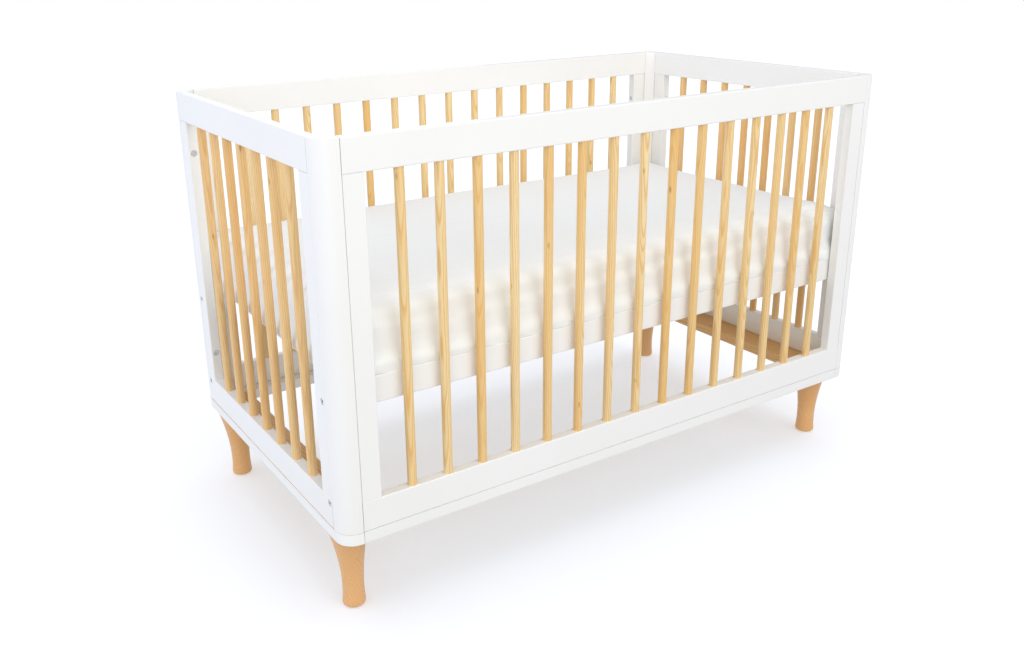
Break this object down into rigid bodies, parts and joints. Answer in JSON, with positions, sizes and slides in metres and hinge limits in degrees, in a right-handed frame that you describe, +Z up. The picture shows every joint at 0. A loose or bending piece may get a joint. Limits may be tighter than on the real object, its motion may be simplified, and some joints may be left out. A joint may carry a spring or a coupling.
{
  "type": "baby crib",
  "caption": "Full-size baby crib with white frame, round timber spindles, turned legs, and a slatted mattress base that stands at two heights.",
  "frame": {"origin": "on the floor, below the middle of the crib", "axes": "+X along the length to the right of someone facing the front, +Y to the rear, +Z up"},
  "size_m": [1.38, 0.764, 0.91],
  "materials": {
    "white_paint": "satin white lacquer on solid timber",
    "spindle_wood": "clear satin lacquer on turned pale timber",
    "leg_wood": "clear satin lacquer on turned timber",
    "veneered_board": "clear lacquered veneer with a white painted outer edge",
    "slat_wood": "planed unfinished pale timber",
    "dowel_wood": "fluted unfinished timber",
    "zinc_plated_steel": "bright zinc plating",
    "mattress_cover": "fitted cotton cover over a foam core",
    "glide_plastic": "moulded, matt"
  },
  "bodies": {
    "crib_frame": {"base_dowels": "dowel_wood", "base_screws": "zinc_plated_steel", "bed_bolts": "zinc_plated_steel", "foot_glides": "glide_plastic", "front_base_rail": "white_paint", "front_left_leg": "leg_wood", "front_left_post": "white_paint", "front_panel_bottom_rail": "white_paint", "front_panel_dowels": "dowel_wood", "front_panel_left_stile": "white_paint", "front_panel_right_stile": "white_paint", "front_panel_top_rail": "white_paint", "front_right_leg": "leg_wood", "front_right_post": "white_paint", "front_spindles": "spindle_wood", "left_base_board": "veneered_board", "left_panel_bolts": "zinc_plated_steel", "left_panel_bottom_rail": "white_paint", "left_panel_front_stile": "white_paint", "left_panel_rear_stile": "white_paint", "left_panel_top_rail": "white_paint", "left_spindles": "spindle_wood", "leg_bolts": "zinc_plated_steel", "leg_inserts": "zinc_plated_steel", "post_bolts": "zinc_plated_steel", "post_inserts": "zinc_plated_steel", "rear_base_rail": "white_paint", "rear_left_leg": "leg_wood", "rear_left_post": "white_paint", "rear_panel_bolts": "zinc_plated_steel", "rear_panel_bottom_rail": "white_paint", "rear_panel_left_stile": "white_paint", "rear_panel_right_stile": "white_paint", "rear_panel_top_rail": "white_paint", "rear_right_leg": "leg_wood", "rear_right_post": "white_paint", "rear_spindles": "spindle_wood", "right_base_board": "veneered_board", "right_panel_bolts": "zinc_plated_steel", "right_panel_bottom_rail": "white_paint", "right_panel_front_stile": "white_paint", "right_panel_rear_stile": "white_paint", "right_panel_top_rail": "white_paint", "right_spindles": "spindle_wood", "stile_dowels": "dowel_wood"},
    "mattress_base": {"bed_left_rail": "white_paint", "bed_right_rail": "white_paint", "bed_front_rail": "white_paint", "bed_rear_rail": "white_paint", "bed_front_ledger": "slat_wood", "bed_rear_ledger": "slat_wood", "bed_slats": "slat_wood", "bed_inserts": "zinc_plated_steel", "bed_dowels": "dowel_wood", "slat_screws": "zinc_plated_steel"},
    "mattress": {"mattress": "mattress_cover"}
  },
  "joints": [
    {"name": "mattress_base_height", "type": "slide", "parent": "crib_frame", "child": "mattress_base", "axis": [0, 0, 1], "range_m": [-0.202, 0]},
    {"name": "mattress_lift", "type": "slide", "parent": "mattress_base", "child": "mattress", "axis": [0, 0, 1], "range_m": [0, 0.65]}
  ]
}
